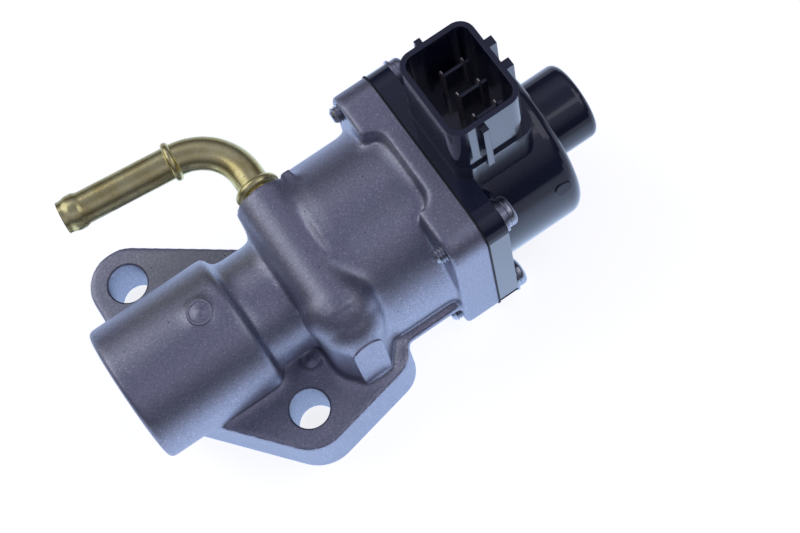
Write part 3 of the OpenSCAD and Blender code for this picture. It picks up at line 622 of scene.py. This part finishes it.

# %% [markdown]
# ## Return spring
# The spring pulls the valve shut, and is squeezed by 4.5 mm when the valve opens. Its solid is
# rigid, and a smooth-shaded copy stands in for it.

# %% Stand a copy in for the spring
spring = copy_of_node("return_spring", "spring")
spring.data.materials.append(spring_steel)
bpy.ops.object.shade_smooth_by_angle(angle=math.radians(40))
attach(spring, "base")
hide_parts("return_spring")
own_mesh(spring)

# %% [markdown]
# ## Ejector marks
# The pins that push a casting out of its die leave shallow round pads with a small pip in the
# middle. Smoothing would wash them away, so they are turned as separate pieces and set into the skin.

# %% Turn the ejector marks
RING_AND_PIP = [
    (0, -0.8), (3.0, -0.8), (2.98, 0.46), (2.75, 0.66), (2.35, 0.66), (2.0, 0.34), (1.25, 0.34),
    (1.0, 0.8), (0.75, 0.88), (0.5, 0.66), (0, 0.62)]
marks = joined("ejector_marks", [
    turned("mark", RING_AND_PIP, 1.0, AXIS_Y + 0.6, AXIS_Z + 16.2, "Z"),
    turned("mark", [(r * 0.93, d) for r, d in RING_AND_PIP], 15.3, -15.3, 14.8, "Z")])
marks.data.materials.clear()
marks.data.materials.append(aluminium)
select_only(marks)
bpy.ops.object.shade_smooth_by_angle(angle=math.radians(30))
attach(marks, "base")

# %% [markdown]
# ## Flange screws
# Each M4 screw has a domed pan head with a cross recess, and its thread shows where the tip
# comes out behind the square flange. The thread is one turn of a zigzag line, repeated by the
# Screw modifier with a pitch of 0.7 mm. One screw is modelled and then copied to the four places.


# %% Model one screw
def thread(start, turns, crest=2.0, root=1.62, pitch=0.7):
    """A run of thread about Z whose ends are closed inside the shank."""
    profile = [(root, 0), (crest, 0.28), (crest, 0.36), (root, 0.64), (root, 0.7)]
    mesh = bpy.data.meshes.new("thread")
    mesh.from_pydata(
        [(r * MM, 0, (start + z) * MM) for r, z in profile],
        [(i, i + 1) for i in range(len(profile) - 1)], [])
    piece = bpy.data.objects.new("thread", mesh)
    bpy.context.scene.collection.objects.link(piece)
    select_only(piece)
    screw = piece.modifiers.new("screw", "SCREW")
    screw.axis, screw.steps, screw.render_steps = "Z", 28, 28
    screw.iterations, screw.screw_offset = turns, pitch * MM
    screw.use_merge_vertices, screw.merge_threshold = True, 0.0005 * MM
    bpy.ops.object.modifier_apply(modifier="screw")
    bpy.ops.object.mode_set(mode="EDIT")
    for part in ("low", "high"):
        bpy.ops.mesh.select_all(action="DESELECT")
        edit = bmesh.from_edit_mesh(piece.data)
        middle = (start + turns * pitch / 2) * MM
        for edge in edit.edges:
            height = (edge.verts[0].co.z + edge.verts[1].co.z) / 2
            edge.select = edge.is_boundary and (height < middle) == (part == "low")
        bmesh.update_edit_mesh(piece.data)
        bpy.ops.mesh.edge_face_add()
    bpy.ops.mesh.select_all(action="SELECT")
    bpy.ops.mesh.quads_convert_to_tris()
    bpy.ops.mesh.normals_make_consistent(inside=False)
    bpy.ops.object.mode_set(mode="OBJECT")
    return piece


def screw_head():
    """Pan head whose dome takes a tapered cross recess."""
    dome = [
        (0, 0), (3.2, 0), (3.4, 0.2), (3.42, 0.8), (3.3, 1.25), (2.95, 1.65), (2.3, 1.92),
        (1.2, 2.05), (0, 2.08)]
    head = turned("head", dome, 0, 0, 0, "Z")
    for quarter in (0, math.pi / 2):
        slot = block("slot", (-1.75, -0.34, 0.75), (1.75, 0.34, 2.6))
        select_only(slot)
        bpy.ops.object.mode_set(mode="EDIT")
        edit = bmesh.from_edit_mesh(slot.data)
        for vertex in edit.verts:
            if vertex.co.z < 1.5 * MM:
                vertex.co.x *= 0.55
                vertex.co.y *= 0.7
            vertex.co = Matrix.Rotation(quarter + 0.35, 3, "Z") @ vertex.co
        bmesh.update_edit_mesh(slot.data)
        bpy.ops.object.mode_set(mode="OBJECT")
        carve(head, slot)
    return head


SHANK = [
    (0, -17.2), (1.15, -17.2), (1.62, -16.7), (1.62, -10.6), (1.98, -10.2), (1.98, 0.3), (0, 0.3)]
shank = turned("shank", SHANK, 0, 0, 0, "Z", 28)
screw_model = joined("screw_model", [screw_head(), shank, thread(-17.0, 9)])
print("one screw:", len(screw_model.data.polygons), "faces")

# %% [markdown]
# No two screws stop at the same turn when they are tightened, so each copy is turned a little
# further than the one before, and its cross points another way.

# %% Copy the screw to its four places
SEAT_X = 64.4                    # where the heads bear on their washers
copies = []
for number, (y, z) in enumerate(SCREWS):
    copy = bpy.data.objects.new("screw", screw_model.data.copy())
    bpy.context.scene.collection.objects.link(copy)
    copy.matrix_world = (
        Matrix.Translation(Vector((SEAT_X, y, z)) * MM) @ Matrix.Rotation(math.pi / 2, 4, "Y")
        @ Matrix.Rotation(0.7 + 1.9 * number, 4, "Z"))
    bake_place(copy)
    copies.append(copy)
bpy.data.objects.remove(screw_model, do_unlink=True)
screws = joined("screws", copies)
screws.data.materials.clear()
screws.data.materials.append(zinc)
select_only(screws)
bpy.ops.object.shade_smooth_by_angle(angle=math.radians(32))
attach(screws, "base")
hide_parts("flange_screws")

# %% [markdown]
# ## Floor, world and lamps
# The photograph was taken on a bright white table under a wide, weaker ceiling light, with dark
# surroundings. So the near faces mirror the table and shine, the top mirrors the ceiling and is
# mid grey, and a dark band lies between them, where the horizon is mirrored. The floor adds its
# own white only for what the camera and the reflections see, so it still carries the shadow.


# %% Lay the floor
def table_top():
    """White table whose own light only the camera and the reflections see."""
    top = Finish("table_top")
    mottle = top.noise(60.0, 2.0)
    diffuse = top.node("ShaderNodeBsdfDiffuse", None, {
        "Color": top.blend(mottle, (0.86, 0.87, 0.89), (0.90, 0.90, 0.91)), "Roughness": 1.0})
    path = top.tree.nodes.new("ShaderNodeLightPath")
    seen = Signal(top, path.outputs["Is Camera Ray"])
    mirrored = Signal(top, path.outputs["Is Glossy Ray"])
    centre = (25 * MM, -5 * MM, 0.0)
    reach = top.node("ShaderNodeVectorMath", {"operation": "DISTANCE"}, {0: top.place, 1: centre}, output=1)
    pool = top.ramp(reach * (1 / 0.3), (0.16, 1.0), (0.52, 0.10))
    white = top.node("ShaderNodeEmission", None, {"Color": (1.0, 1.0, 1.0, 1.0), "Strength": seen * 0.8})
    cool = top.node(
        "ShaderNodeEmission", None, {"Color": (0.54, 0.71, 1.0, 1.0), "Strength": mirrored * pool})
    glow = top.node("ShaderNodeAddShader", None, {0: white, 1: cool})
    top.end(top.node("ShaderNodeAddShader", None, {0: diffuse, 1: glow}))
    return top.material


bpy.ops.object.select_all(action="DESELECT")
bpy.ops.mesh.primitive_plane_add(size=6.0, location=(0, 0, -0.0002))
floor = bpy.context.active_object
floor.name = "table"
floor.data.materials.append(table_top())
bake_place(floor)

# %% [markdown]
# The world is a dim ramp from the ground to the zenith, a little brighter halfway up, where the
# wide ceiling light hangs. Two large, soft lamps give the top its sheen and the shadow its side.

# %% Set the world and the lamps
world = bpy.data.worlds.new("studio")
bpy.context.scene.world = world
world.use_nodes = True
sky = world.node_tree
sky.nodes.clear()
where = sky.nodes.new("ShaderNodeTexCoord")
split = sky.nodes.new("ShaderNodeSeparateXYZ")
sky.links.new(where.outputs["Generated"], split.inputs[0])
tone = sky.nodes.new("ShaderNodeValToRGB")
SKY = [(0.0, (0.035, 0.035, 0.045)), (0.32, (0.055, 0.055, 0.075)), (0.62, (0.22, 0.22, 0.30)),
       (0.84, (0.29, 0.29, 0.405)), (0.97, (0.17, 0.175, 0.25))]
while len(tone.color_ramp.elements) < len(SKY):
    tone.color_ramp.elements.new(0.5)
for stop, (height, colour) in zip(tone.color_ramp.elements, SKY):
    stop.position, stop.color = height, (*colour, 1)
sky.links.new(split.outputs["Z"], tone.inputs["Fac"])
background = sky.nodes.new("ShaderNodeBackground")
sky.links.new(tone.outputs["Color"], background.inputs["Color"])
world_out = sky.nodes.new("ShaderNodeOutputWorld")
sky.links.new(background.outputs[0], world_out.inputs[0])


def softbox(name, place, size, power, tint):
    """A square lamp at a place in mm, which faces the middle of the valve."""
    lamp = bpy.data.lights.new(name, "AREA")
    lamp.shape, lamp.size, lamp.energy, lamp.color = "SQUARE", size * MM, power, tint
    made = bpy.data.objects.new(name, lamp)
    bpy.context.scene.collection.objects.link(made)
    made.location = Vector(place) * MM
    aim = (Vector((30, 0, 20)) - Vector(place)).normalized()
    made.rotation_euler = aim.to_track_quat("-Z", "Y").to_euler()


softbox("window", (-420, 520, 520), 760, 1.2, (0.97, 0.98, 1.0))
softbox("side", (620, -320, 760), 700, 0.7, (0.94, 0.97, 1.0))
